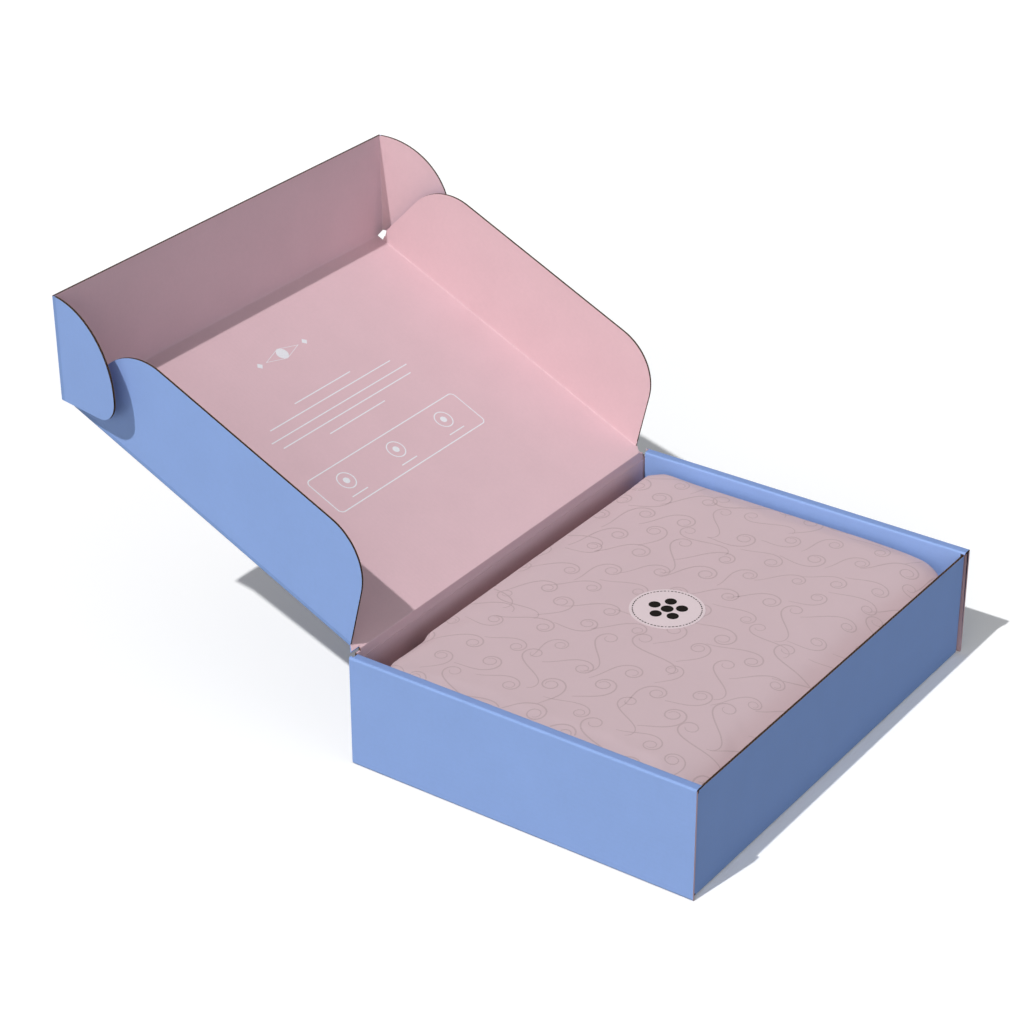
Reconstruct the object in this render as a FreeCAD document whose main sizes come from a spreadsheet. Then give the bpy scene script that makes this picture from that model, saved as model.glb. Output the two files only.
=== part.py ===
# Roll-end mailer box of corrugated board, standing open, with a wrapped parcel inside.
# The box is one die-cut sheet. It folds up from the bottom panel: the side walls roll over
# and lock into the bottom, the front and back walls send dust flaps into the hollow side
# walls, and the lid carries two side flaps, a front flap and the front flap's two tuck ears.
# Frame: millimetres, +Z up, origin at the centre of the underside, front wall towards -Y,
# lid hinge along X at +Y. The inner face of the board is the pink one.
import FreeCAD, Part
import os
import Sketcher
from FreeCAD import Placement, Rotation, Vector

# Driving dimensions, in millimetres and degrees
SIZES = {
    # the tray, over its outer faces
    "box_width": 330.0,
    "box_depth": 244.0,
    "box_height": 76.2,
    "board": 1.5,
    "fold_clearance": 0.15,
    "ear_clearance": 0.25,
    "crease_clearance": 0.1,
    "roll_back_gap": 0.8,
    "front_setback": 1.5,
    "front_drop": 3.4,
    "bottom_lap": 14.0,
    # dust flaps in the hollow side walls
    "dust_flap_length": 70.0,
    "dust_flap_drop": 2.0,
    "dust_flap_lift": 1.0,
    "dust_flap_taper": 9.0,
    # lock tabs of the rolled side walls
    "tab_length": 36.0,
    "tab_spacing": 110.0,
    "tab_clearance": 0.3,
    # lid and its flaps
    "lid_length": 245.0,
    "lid_side_clearance": 0.25,
    "lid_top_clearance": 0.1,
    "lid_crease_clearance": 0.35,
    "lid_corner_cut": 5.0,
    "hinge_end_cut": 3.5,
    "side_flap_height": 69.8,
    "side_flap_setback": 5.0,
    "side_flap_back_lean": 14.4,
    "side_flap_front_lean": 20.7,
    "side_flap_nose": 8.5,
    "side_flap_corner": 38.0,
    "front_flap_length": 73.2,
    "ear_reach": 53.5,
    "ear_rise": 3.0,
    "ear_small_corner": 16.0,
    "ear_big_corner": 52.0,
    # pose of the open lid
    "lid_open_angle": 155.0,
    "front_flap_angle": 25.5,
    "ear_splay_angle": 10.0,
    # the wrapped parcel and its seal
    "parcel_height": 68.5,
    "parcel_side_room": 2.85,
    "parcel_back_room": 9.5,
    "parcel_front_room": 0.3,
    "parcel_back_corner": 14.0,
    "parcel_front_corner": 30.0,
    "parcel_shoulder": 5.0,
    "parcel_foot": 3.0,
    "sticker_diameter": 47.5,
    "sticker_thickness": 0.25,
    "sticker_back": 1.6,
}

# Places that follow from the driving dimensions
LAYOUT = {
    # the hollow side wall, from outside: outer panel, slot for an ear, dust flap, inner panel
    "outer_panel_in": "sizes.box_width / 2 - sizes.board",
    "ear_crease": "outer_panel_in - sizes.ear_clearance - sizes.board / 2",
    "dust_flap_out": "ear_crease - sizes.board / 2 - sizes.ear_clearance",
    "dust_flap_in": "dust_flap_out - sizes.board",
    "inner_panel_out": "dust_flap_in - sizes.fold_clearance",
    "inner_panel_in": "inner_panel_out - sizes.board",
    "roll_under": "sizes.box_height - sizes.board",
    "inner_panel_foot": "sizes.board + sizes.fold_clearance",
    # front and back walls
    "front_wall_in": "sizes.front_setback + sizes.board - sizes.box_depth / 2",
    "front_wall_top": "sizes.box_height - sizes.front_drop",
    "back_wall_in": "sizes.box_depth / 2 - sizes.board",
    "tab_start": "(sizes.tab_spacing - sizes.tab_length) / 2",
    "tab_end": "(sizes.tab_spacing + sizes.tab_length) / 2",
    "dust_flap_foot": "sizes.board + sizes.dust_flap_lift",
    "dust_flap_top": "front_wall_top - sizes.dust_flap_drop",
    # the lid's hinge, at mid thickness of the crease above the back wall
    "hinge_y": "sizes.box_depth / 2",
    "hinge_z": "sizes.box_height + sizes.lid_top_clearance + sizes.board / 2",
    # below the hinge the back wall bends outwards a little, towards the open lid
    "back_bend_foot": "hinge_z - 5 * sizes.board",
    "back_bend_top": "hinge_z - 3 * sizes.board",
    # rounding of the board's edges: nearly a quarter circle at a fold, nearly a half at a crease
    "fold_round": "0.97 * sizes.board",
    "crease_round": "0.49 * sizes.board",
    # the lid's panels, measured along each panel from its own crease
    "lid_half": "inner_panel_in - sizes.lid_side_clearance",
    "side_crease": "lid_half - sizes.board",
    "lid_start": "sizes.board / 2 + sizes.lid_crease_clearance",
    "lid_corner": "sizes.lid_length - sizes.lid_corner_cut",
    "lid_end": "sizes.lid_length + sizes.board / 2",
    "flap_start": "sizes.board / 2 + sizes.crease_clearance",
    "front_flap_half": "ear_crease + sizes.board / 2",
    "parcel_half": "inner_panel_in - sizes.parcel_side_room",
    "parcel_front": "front_wall_in + sizes.parcel_front_room",
    "parcel_back": "back_wall_in - sizes.parcel_back_room",
    "parcel_top": "sizes.board + sizes.parcel_height",
}

FRONT_TO_BACK = Vector(0, 1, 0)
SIDE_TO_SIDE = Vector(1, 0, 0)

doc = FreeCAD.newDocument("mailer_box")


def fill_sheet(name, cells):
    """A spreadsheet with an alias and its content on each row."""
    sheet = doc.addObject("Spreadsheet::Sheet", name)
    for row, (alias, content) in enumerate(cells.items(), start=1):
        sheet.set(f"A{row}", alias)
        sheet.set(f"B{row}", content)
        sheet.setAlias(f"B{row}", alias)
    doc.recompute()
    return sheet


sizes = fill_sheet("sizes", {alias: str(number) for alias, number in SIZES.items()})
layout = fill_sheet("layout", {alias: "=" + rule for alias, rule in LAYOUT.items()})


# Sketches and profiles


def rough_corner(index):
    """A starting place for a corner, on a zigzag. Its constraints then move it to where it belongs."""
    return Vector(10 * index, 7 * (index % 2), 0)


def bind_points(sketch, points, closed):
    """Straight lines through the points, with each coordinate bound to an expression."""
    count = len(points)
    lines = count if closed else count - 1
    for index in range(lines):
        following = (index + 1) % count
        sketch.addGeometry(Part.LineSegment(rough_corner(index), rough_corner(following)))
    for index in range(lines if closed else lines - 1):
        sketch.addConstraint(Sketcher.Constraint("Coincident", index, 2, (index + 1) % lines, 1))
    for index, pair in enumerate(points):
        line, end = (index, 1) if index < lines else (lines - 1, 2)
        for axis, rule in zip("XY", pair):
            place = sketch.addConstraint(Sketcher.Constraint("Distance" + axis, -1, 1, line, end, 1.0))
            label = f"corner_{index}_{axis.lower()}"
            sketch.renameConstraint(place, label)
            sketch.setExpression("Constraints." + label, rule)


def turned(local_x, local_y):
    """The rotation that takes a sketch's X and Y to two directions of the box."""
    return Rotation(local_x, local_y, local_x.cross(local_y), "ZXY")


# A section across the box lies in its X and Z, one along it in Y and Z, a level one in X and Y
ACROSS = Placement(Vector(), turned(Vector(1, 0, 0), Vector(0, 0, 1)))
ALONG = Placement(Vector(), turned(Vector(0, 1, 0), Vector(0, 0, 1)))
LEVEL = Placement()


def extruded(name, base, length, placement):
    """A solid that stands out equally on both sides of its flat base, turned into the box."""
    solid = doc.addObject("Part::Extrusion", name)
    solid.Base = base
    solid.DirMode = "Normal"
    solid.Solid = True
    solid.Symmetric = True
    solid.setExpression("LengthFwd", length)
    solid.Placement = placement
    return solid


def outline(name, points, closed=True):
    sketch = doc.addObject("Sketcher::SketchObject", name + "_outline")
    bind_points(sketch, points, closed)
    return sketch


def folded_band(name, path, length, placement):
    """A band of board: the path follows its inner face, and the folds are round outside."""
    section = doc.addObject("Part::Offset2D", name + "_section")
    section.Source = outline(name, path, closed=False)
    section.Mode = "Skin"
    section.Join = "Arc"
    section.Fill = True
    section.setExpression("Value", "sizes.board")
    return extruded(name, section, length, placement)


def block(name, low, high):
    """A box between two corners, given as expressions."""
    box = doc.addObject("Part::Box", name)
    for side, axis, start, end in zip(("Length", "Width", "Height"), "xyz", low, high):
        box.setExpression(side, f"({end}) - ({start})")
        box.setExpression("Placement.Base." + axis, start)
    return box


def with_mirror(name, source, normal):
    """The shape together with its mirror image across the middle of the box."""
    image = doc.addObject("Part::Mirroring", name + "_image")
    image.Source = source
    image.Normal = normal
    return fused(name, [source, image])


def fused(name, pieces):
    joined = doc.addObject("Part::MultiFuse", name)
    joined.Shapes = pieces
    return joined


def cut(name, base, tool):
    result = doc.addObject("Part::Cut", name)
    result.Base = base
    result.Tool = tool
    return result


# The tray


def lock_slots():
    """The slots in the bottom that the right side wall's two tabs drop into."""
    slot = block(
        "lock_slot",
        ("layout.inner_panel_in - sizes.fold_clearance", "layout.tab_start - sizes.tab_clearance",
         "0 - sizes.board"),
        ("layout.inner_panel_out + sizes.fold_clearance", "layout.tab_end + sizes.tab_clearance",
         "sizes.board"),
    )
    return with_mirror("lock_slots_right", slot, FRONT_TO_BACK)


def lock_tabs():
    """The tabs at the foot of the right inner panel, just clear of the table."""
    tab = block(
        "lock_tab",
        ("layout.inner_panel_in", "layout.tab_start", "sizes.fold_clearance"),
        ("layout.inner_panel_out", "layout.tab_end", "layout.inner_panel_foot + sizes.board"),
    )
    return with_mirror("lock_tabs_right", tab, FRONT_TO_BACK)


def side_wall(slots):
    """The right side: outer panel, roll top and inner panel with its lock tabs."""
    path = [
        ("layout.outer_panel_in - sizes.bottom_lap", "sizes.board"),
        ("layout.outer_panel_in", "sizes.board"),
        ("layout.outer_panel_in", "layout.roll_under"),
        ("layout.inner_panel_out", "layout.roll_under"),
        ("layout.inner_panel_out", "layout.inner_panel_foot"),
    ]
    roll = folded_band("side_roll", path, "sizes.box_depth", ACROSS)
    # the inner panel fits between the walls, and the roll's top stops short of the back wall too
    low = "0 - sizes.board"
    front = block(
        "roll_front_relief",
        ("0", "0 - sizes.box_depth / 2 - sizes.board", low),
        ("layout.outer_panel_in", "layout.front_wall_in + sizes.fold_clearance", "layout.roll_under"),
    )
    back = block(
        "roll_back_relief",
        ("0", "layout.back_wall_in - sizes.roll_back_gap", low),
        ("layout.outer_panel_in", "sizes.box_depth / 2 + sizes.board", "sizes.box_height + sizes.board"),
    )
    trimmed = cut("side_roll_trimmed", roll, fused("side_roll_waste", [front, back, slots]))
    wall = fused("side_wall_right", [trimmed, lock_tabs()])
    return with_mirror("side_walls", wall, SIDE_TO_SIDE)


def bottom_with_walls():
    """Front wall, bottom and back wall in one band, with the hinge crease on the back wall."""
    path = [
        ("layout.front_wall_in", "layout.front_wall_top"),
        ("layout.front_wall_in", "sizes.board"),
        ("layout.back_wall_in", "sizes.board"),
        ("layout.back_wall_in", "layout.back_bend_foot"),
        ("layout.hinge_y - sizes.board / 2", "layout.back_bend_top"),
        ("layout.hinge_y - sizes.board / 2", "layout.hinge_z"),
    ]
    band = folded_band("bottom_band", path, "2 * layout.dust_flap_in", ALONG)
    crease = doc.addObject("Part::Cylinder", "hinge_crease")
    crease.setExpression("Radius", "sizes.board / 2")
    crease.setExpression("Height", "2 * (layout.lid_half - sizes.hinge_end_cut)")
    crease.Placement = Placement(Vector(), Rotation(Vector(0, 1, 0), 90))
    crease.setExpression("Placement.Base.x", "sizes.hinge_end_cut - layout.lid_half")
    crease.setExpression("Placement.Base.y", "layout.hinge_y")
    crease.setExpression("Placement.Base.z", "layout.hinge_z")
    return fused("bottom_and_walls", [band, crease])


def dust_flaps(place, path, slope):
    """A wall's two dust flaps, with the waste above their sloping top edges cut away."""
    height = "layout.dust_flap_top - layout.dust_flap_foot"
    flaps = folded_band(f"dust_flaps_{place}", path, height, LEVEL)
    flaps.setExpression("Placement.Base.z", "(layout.dust_flap_top + layout.dust_flap_foot) / 2")
    waste_outline = outline(f"dust_flap_waste_{place}", slope)
    waste = extruded(f"dust_flap_waste_{place}", waste_outline, "sizes.box_width", ALONG)
    return cut(f"dust_flaps_{place}_sloped", flaps, waste)


def front_dust_flaps():
    end = "layout.front_wall_in + sizes.dust_flap_length"
    path = [
        ("0 - layout.dust_flap_in", end),
        ("0 - layout.dust_flap_in", "layout.front_wall_in"),
        ("layout.dust_flap_in", "layout.front_wall_in"),
        ("layout.dust_flap_in", end),
    ]
    slope = [
        ("layout.front_wall_in + sizes.board", "layout.dust_flap_top"),
        (f"{end} + sizes.board", "layout.dust_flap_top - sizes.dust_flap_taper"),
        (f"{end} + sizes.board", "layout.dust_flap_top + sizes.board"),
        ("layout.front_wall_in + sizes.board", "layout.dust_flap_top + sizes.board"),
    ]
    return dust_flaps("front", path, slope)


def back_dust_flaps():
    end = "layout.back_wall_in - sizes.dust_flap_length"
    path = [
        ("layout.dust_flap_in", end),
        ("layout.dust_flap_in", "layout.back_wall_in"),
        ("0 - layout.dust_flap_in", "layout.back_wall_in"),
        ("0 - layout.dust_flap_in", end),
    ]
    slope = [
        ("layout.back_wall_in - sizes.board", "layout.dust_flap_top"),
        ("layout.back_wall_in - sizes.board", "layout.dust_flap_top + sizes.board"),
        (f"{end} - sizes.board", "layout.dust_flap_top + sizes.board"),
        (f"{end} - sizes.board", "layout.dust_flap_top - sizes.dust_flap_taper"),
    ]
    return dust_flaps("back", path, slope)


def corner_waste():
    """What is cut off beside the hinge crease, below the roll and at the crease's own ends."""
    low_y = "layout.back_wall_in - sizes.board"
    high_y = "layout.hinge_y + sizes.board"
    high_z = "layout.hinge_z + sizes.board"
    beside_roll = block(
        "hinge_side_notch",
        ("layout.lid_half", low_y, "layout.roll_under - sizes.board"),
        ("layout.outer_panel_in", high_y, high_z),
    )
    crease_end_cut = block(
        "hinge_end_notch",
        ("layout.lid_half - sizes.hinge_end_cut", low_y, "layout.hinge_z - sizes.board"),
        ("layout.outer_panel_in", high_y, high_z),
    )
    waste = fused("corner_waste_right", [beside_roll, crease_end_cut])
    return with_mirror("corner_waste", waste, SIDE_TO_SIDE)


def make_tray():
    slots = lock_slots()
    band = cut("walls_trimmed", bottom_with_walls(), corner_waste())
    bottom = cut("bottom_slotted", band, with_mirror("lock_slots", slots, SIDE_TO_SIDE))
    pieces = [bottom, side_wall(slots), front_dust_flaps(), back_dust_flaps()]
    return fused("tray", pieces)


# The lid, its flaps and the contents: flat pieces that are cut out, rounded and placed


def flat_piece(name, points, thickness="sizes.board"):
    """A body cut from flat stock: its inner or upper face is the sketch plane."""
    body = doc.addObject("PartDesign::Body", name)
    sketch = body.newObject("Sketcher::SketchObject", name + "_outline")
    level = [feature for feature in body.Origin.OriginFeatures if feature.Role == "XY_Plane"][0]
    sketch.AttachmentSupport = [(level, "")]
    sketch.MapMode = "FlatFace"
    bind_points(sketch, points, closed=True)
    pad = body.newObject("PartDesign::Pad", name + "_pad")
    pad.Profile = sketch
    pad.Reversed = True
    pad.setExpression("Length", thickness)
    doc.recompute()
    return body


def round_edges(body, label, radius, chosen):
    """A fillet on every edge of the body that the test picks."""
    base = body.Tip
    names = [f"Edge{number}" for number, edge in enumerate(base.Shape.Edges, start=1) if chosen(edge)]
    if not names:
        raise RuntimeError(f"{body.Name} has no edge for {label}")
    fillet = body.newObject("PartDesign::Fillet", f"{body.Name}_{label}")
    fillet.Base = (base, names)
    fillet.setExpression("Radius", radius)
    doc.recompute()


def near(first, second):
    return abs(first - second) < 0.01


def corner_of(body, number):
    """Picks the edge through the thickness at a corner of the body's outline."""
    corner = doc.getObject(body.Name + "_outline").Geometry[number].StartPoint

    def chosen(edge):
        middle = edge.CenterOfMass
        return near(middle.x, corner.x) and near(middle.y, corner.y)

    return chosen


def crease_end(axis, distance, depths):
    """Picks the long edges at a distance from the middle of the piece, at the given depths."""

    def chosen(edge):
        middle = edge.CenterOfMass
        reach = middle.x if axis == "x" else middle.y
        return near(abs(reach), distance) and any(near(-middle.z, depth) for depth in depths)

    return chosen


def signed(sign, rule):
    return rule if sign > 0 else f"0 - ({rule})"


def make_lid_panel():
    """The top panel. Its side edges are folds, and its front edge is a crease."""
    half = [
        ("layout.lid_half - sizes.hinge_end_cut", "layout.lid_start"),
        ("layout.lid_half", "layout.lid_start + sizes.hinge_end_cut"),
        ("layout.lid_half", "layout.lid_corner"),
        ("layout.side_crease", "layout.lid_corner"),
        ("layout.side_crease", "layout.lid_end"),
    ]
    other = [(f"0 - {x}", y) for x, y in reversed(half)]
    body = flat_piece("lid_panel", half + other)
    board = float(sizes.board)
    round_edges(body, "side_folds", "layout.fold_round", crease_end("x", float(layout.lid_half), [board]))
    round_edges(body, "front_crease", "layout.crease_round",
                crease_end("y", float(layout.lid_end), [0.0, board]))
    return body


def make_side_flap(name, sign):
    """A lid side flap, with X away from its crease and Y along the lid."""
    points = [
        ("sizes.crease_clearance", "sizes.side_flap_setback"),
        ("sizes.side_flap_height", "sizes.side_flap_setback + sizes.side_flap_back_lean"),
        ("sizes.side_flap_height", "layout.lid_corner - sizes.side_flap_front_lean"),
        ("sizes.side_flap_nose", "layout.lid_corner"),
        ("sizes.crease_clearance", "layout.lid_corner - sizes.board"),
    ]
    body = flat_piece(name, [(signed(sign, x), y) for x, y in points])
    round_edges(body, "back_corner", "sizes.side_flap_corner", corner_of(body, 1))
    round_edges(body, "front_corner", "sizes.side_flap_corner", corner_of(body, 2))
    return body


def make_front_flap():
    """The flap that covers the front wall. It is wider than the lid, and its ends are creases."""
    half = [
        ("layout.side_crease", "layout.flap_start"),
        ("layout.front_flap_half", "sizes.ear_rise"),
        ("layout.front_flap_half", "sizes.front_flap_length"),
    ]
    other = [(f"0 - {x}", y) for x, y in reversed(half)]
    body = flat_piece("front_flap", half + other)
    round_edges(body, "end_creases", "layout.crease_round",
                crease_end("x", float(layout.front_flap_half), [0.0, float(sizes.board)]))
    return body


def make_ear(name, sign):
    """A tuck ear, with X away from its crease and Y along the front flap's end."""
    points = [
        ("layout.flap_start", "sizes.ear_rise"),
        ("sizes.ear_reach", "sizes.ear_rise"),
        ("sizes.ear_reach", "sizes.front_flap_length"),
        ("layout.flap_start", "sizes.front_flap_length"),
    ]
    body = flat_piece(name, [(signed(sign, x), y) for x, y in points])
    round_edges(body, "small_corner", "sizes.ear_small_corner", corner_of(body, 1))
    round_edges(body, "big_corner", "sizes.ear_big_corner", corner_of(body, 2))
    return body


def make_parcel():
    """Soft goods wrapped in tissue: a low block with soft edges and round corners."""
    points = [
        ("0 - layout.parcel_half", "layout.parcel_front"),
        ("layout.parcel_half", "layout.parcel_front"),
        ("layout.parcel_half", "layout.parcel_back"),
        ("0 - layout.parcel_half", "layout.parcel_back"),
    ]
    body = flat_piece("wrapped_parcel", points, "sizes.parcel_height")
    front, back = "sizes.parcel_front_corner", "sizes.parcel_back_corner"
    for number, radius in enumerate((front, front, back, back)):
        round_edges(body, f"corner_{number}", radius, corner_of(body, number))
    height = float(sizes.parcel_height)
    round_edges(body, "shoulder", "sizes.parcel_shoulder", lambda edge: near(edge.CenterOfMass.z, 0.0))
    round_edges(body, "foot", "sizes.parcel_foot", lambda edge: near(edge.CenterOfMass.z, -height))
    return body


def make_sticker():
    sticker = doc.addObject("Part::Cylinder", "round_sticker")
    sticker.setExpression("Radius", "sizes.sticker_diameter / 2")
    sticker.setExpression("Height", "sizes.sticker_thickness")
    return sticker


# Places of the pieces


def shift(x, y, z):
    return Placement(Vector(x, y, z), Rotation())


def turn(axis, degrees):
    return Placement(Vector(), Rotation(axis, degrees))


tray = make_tray()
lid_panel = make_lid_panel()
side_flaps = {1: make_side_flap("side_flap_right", 1), -1: make_side_flap("side_flap_left", -1)}
front_flap = make_front_flap()
ears = {1: make_ear("ear_right", 1), -1: make_ear("ear_left", -1)}
parcel = make_parcel()
sticker = make_sticker()
doc.recompute()

ACROSS_BOX = Vector(1, 0, 0)
UP_THE_PANEL = Vector(0, 1, 0)
half_board = float(sizes.board) / 2
# most creases turn about the middle of the board, and a panel's own plane is its inner face
to_inner_face = shift(0, 0, half_board)
to_middle = shift(0, 0, -half_board)

lid_place = shift(0, layout.hinge_y, layout.hinge_z)
lid_place = lid_place * turn(ACROSS_BOX, 180 - float(sizes.lid_open_angle)) * to_inner_face
lid_panel.Placement = lid_place

front_place = lid_place * to_middle * shift(0, sizes.lid_length, 0)
front_place = front_place * turn(ACROSS_BOX, 90 - float(sizes.front_flap_angle)) * to_inner_face
front_flap.Placement = front_place

for sign, flap in side_flaps.items():
    flap_place = lid_place * shift(sign * float(layout.side_crease), 0, 0)
    flap.Placement = flap_place * turn(UP_THE_PANEL, -90 * sign)

for sign, ear in ears.items():
    ear_place = front_place * to_middle * shift(sign * float(layout.ear_crease), 0, 0)
    ear_turn = turn(UP_THE_PANEL, sign * (float(sizes.ear_splay_angle) - 90))
    ear.Placement = ear_place * ear_turn * to_inner_face

parcel.Placement = shift(0, 0, layout.parcel_top)
sticker.Placement = shift(0, sizes.sticker_back, layout.parcel_top)
doc.recompute()

# Every feature has to have worked before anything is written
for item in doc.Objects:
    if "Invalid" in item.State or "Error" in item.State:
        raise RuntimeError(f"{item.Name} failed: {item.State}")

pieces = [tray, lid_panel, front_flap, parcel, sticker] + list(side_flaps.values()) + list(ears.values())
os.makedirs("parts", exist_ok=True)
for piece in pieces:
    piece.Label = piece.Name
    shape = piece.Shape
    if shape.isNull() or not shape.isValid() or len(shape.Solids) != 1:
        raise RuntimeError(f"{piece.Label} is not one valid solid")
    shape.exportStep(f"parts/{piece.Label}.step")
    box = shape.BoundBox
    print(f"{piece.Label}: {shape.Volume:.0f} mm3, X {box.XMin:.2f} to {box.XMax:.2f},"
          f" Y {box.YMin:.2f} to {box.YMax:.2f}, Z {box.ZMin:.2f} to {box.ZMax:.2f}")
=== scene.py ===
# %% [markdown]
# # A corrugated mailer box, standing open
#
# The real thing is one sheet of thin corrugated board, printed blue on one side and pink on the
# other. It folds up into a tray with rolled side walls, and a lid that leans back on its hinge.
# A soft parcel in printed tissue, closed with a round sticker, lies in the tray.
#
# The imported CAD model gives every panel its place, so this script measures it first and then
# dresses it. All lengths are metres, X runs across the box, Y from front to back and Z up.

import math
import random
from collections import namedtuple

import bmesh
import bpy
from mathutils import Matrix, Vector
from mathutils.bvhtree import BVHTree


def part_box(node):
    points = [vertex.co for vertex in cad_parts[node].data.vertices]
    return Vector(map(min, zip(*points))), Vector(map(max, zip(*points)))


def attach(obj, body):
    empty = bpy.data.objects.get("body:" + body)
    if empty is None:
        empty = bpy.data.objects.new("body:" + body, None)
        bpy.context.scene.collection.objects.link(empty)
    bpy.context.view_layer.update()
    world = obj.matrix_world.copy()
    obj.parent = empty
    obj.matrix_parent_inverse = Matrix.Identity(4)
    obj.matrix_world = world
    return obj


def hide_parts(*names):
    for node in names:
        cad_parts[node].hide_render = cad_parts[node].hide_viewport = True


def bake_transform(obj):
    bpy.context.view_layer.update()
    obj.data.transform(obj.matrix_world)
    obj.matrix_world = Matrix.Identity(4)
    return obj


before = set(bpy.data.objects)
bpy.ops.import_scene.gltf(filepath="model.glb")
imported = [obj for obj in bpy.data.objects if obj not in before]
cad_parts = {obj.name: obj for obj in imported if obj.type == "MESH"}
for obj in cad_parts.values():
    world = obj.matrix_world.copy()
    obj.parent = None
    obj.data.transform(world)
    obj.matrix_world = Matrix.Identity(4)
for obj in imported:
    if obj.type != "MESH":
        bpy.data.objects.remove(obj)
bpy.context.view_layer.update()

# %% [markdown]
# ## Every panel has directions of its own
#
# A flat panel of board is easiest to think of from its crease: how far across the crease, how far
# along the panel, and how high above the middle of the board on its pink side. Writing these down
# once lets the folds, the print on the lid and the cut edges all be placed by small, plain numbers.

# %% Name the board's sizes and the panels' directions
MM = 0.001
BOARD = 1.5 * MM
HALF_BOARD = BOARD / 2
HALF_WIDTH = 165 * MM
HALF_DEPTH = 122 * MM
SIDE_CREASE = 156.6 * MM
EAR_CREASE = 162.5 * MM
SIDE_CREASE_END = 5.2 * MM
LID_LENGTH = 245 * MM
LID_TILT = 25.0
HINGE_HEIGHT = 77.05 * MM
FLAP_TURN = 64.5
EAR_SPLAY = 10.0
SIDES = {"left": -1, "right": 1}

Panel = namedtuple("Panel", "origin across along pink")


def tilted_panel(origin, tilt):
    """A panel whose crease runs along X, leaning up from the level by an angle in degrees."""
    angle = math.radians(tilt)
    along = Vector((0, math.cos(angle), math.sin(angle)))
    return Panel(origin, Vector((1, 0, 0)), along, along.cross(Vector((-1, 0, 0))))


def on_panel(panel, across, along, height):
    """The point of the box at these three distances on a panel."""
    return panel.origin + panel.across * across + panel.along * along + panel.pink * height


lid = tilted_panel(Vector((0, HALF_DEPTH, HINGE_HEIGHT)), LID_TILT)
front_flap = tilted_panel(on_panel(lid, 0, LID_LENGTH, 0), LID_TILT + FLAP_TURN)
print("lid runs along", [round(value, 3) for value in lid.along])
print("front flap starts at", [round(value, 4) for value in front_flap.origin])

# %% [markdown]
# ## Shader tools
#
# Printed board looks matt and slightly uneven: the ink sinks into the liner, and a fine grain of
# paper fibre breaks up the light. Several materials need that same grain, so it is a node group.
# A second group draws the fluted edge that shows wherever the sheet was cut.

# %% Start a node group
def start_group(name, inputs, outputs):
    """An empty node group with named sockets: pairs of a name and a kind."""
    group = bpy.data.node_groups.new(name, "ShaderNodeTree")
    for label, kind in inputs:
        group.interface.new_socket(label, in_out="INPUT", socket_type=kind)
    for label, kind in outputs:
        group.interface.new_socket(label, in_out="OUTPUT", socket_type=kind)
    start = group.nodes.new("NodeGroupInput")
    end = group.nodes.new("NodeGroupOutput")
    return group, start, end


def plug(tree, source, target):
    """Join a socket, or give a plain value, to a node's input."""
    if isinstance(source, bpy.types.NodeSocket):
        tree.links.new(source, target)
    else:
        target.default_value = source


def math_node(tree, operation, *values):
    node = tree.nodes.new("ShaderNodeMath")
    node.operation = operation
    for value, socket in zip(values, node.inputs):
        plug(tree, value, socket)
    return node.outputs[0]


def noise_node(tree, vector, scale, detail=2.0, roughness=0.5):
    node = tree.nodes.new("ShaderNodeTexNoise")
    plug(tree, vector, node.inputs["Vector"])
    node.inputs["Scale"].default_value = scale
    node.inputs["Detail"].default_value = detail
    node.inputs["Roughness"].default_value = roughness
    return node.outputs["Fac"]


def mix_colour(tree, factor, first, second, blend="MIX"):
    node = tree.nodes.new("ShaderNodeMix")
    node.data_type = "RGBA"
    node.blend_type = blend
    plug(tree, factor, node.inputs[0])
    plug(tree, first, node.inputs[6])
    plug(tree, second, node.inputs[7])
    return node.outputs[2]


def remap(tree, value, low, high, new_low, new_high):
    node = tree.nodes.new("ShaderNodeMapRange")
    for source, socket in zip((value, low, high, new_low, new_high), node.inputs):
        plug(tree, source, socket)
    return node.outputs[0]


print("shader tools ready")

# %% [markdown]
# ## Mesh tools
#
# Many pieces are built the same way: draw a sheet in a bmesh, make it an object, and give it a
# thickness. The Solidify modifier keeps thin strips tidy at their corners, so it does that job.

# %% Make a piece, thicken it and keep its corners crisp
def new_piece(name, shape, *materials):
    """Turn a bmesh into an object with these materials."""
    mesh = bpy.data.meshes.new(name)
    shape.to_mesh(mesh)
    shape.free()
    for material in materials:
        mesh.materials.append(material)
    piece = bpy.data.objects.new(name, mesh)
    bpy.context.scene.collection.objects.link(piece)
    return piece


def apply_modifiers(piece):
    """Give the piece the mesh that its modifiers make, and remove them."""
    graph = bpy.context.evaluated_depsgraph_get()
    mesh = bpy.data.meshes.new_from_object(piece.evaluated_get(graph))
    piece.modifiers.clear()
    piece.data = mesh


def thicken(piece, depth):
    """Give a sheet a thickness, on the side away from its normals."""
    solid = piece.modifiers.new("thickness", "SOLIDIFY")
    solid.thickness = depth
    solid.offset = -1
    apply_modifiers(piece)


def mark_sharp(shape, limit):
    """Shade smoothly only between two curved faces that meet at a small angle, in degrees."""
    for edge in shape.edges:
        faces = edge.link_faces
        curved = len(faces) == 2 and all(face.smooth for face in faces)
        edge.smooth = curved and faces[0].normal.angle(faces[1].normal, 0) < math.radians(limit)


print("mesh tools ready")

# %% [markdown]
# ### Paper grain
#
# Two scales of noise are enough: a cloudy one, a few centimetres wide, for ink that took unevenly,
# and a fine one, under a millimetre, for the fibres. Corrugated board also shows its flutes faintly
# through the liner. The UV map of the board holds the distance across the flutes, so a sine wave of
# that distance makes the washboard.

# %% Build the paper grain group
FLUTE_PITCH = 3.3 * MM
CLOUD_SCALE = 34.0
SPECK_SCALE = 420.0
FIBRE_SCALE = 1500.0


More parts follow.
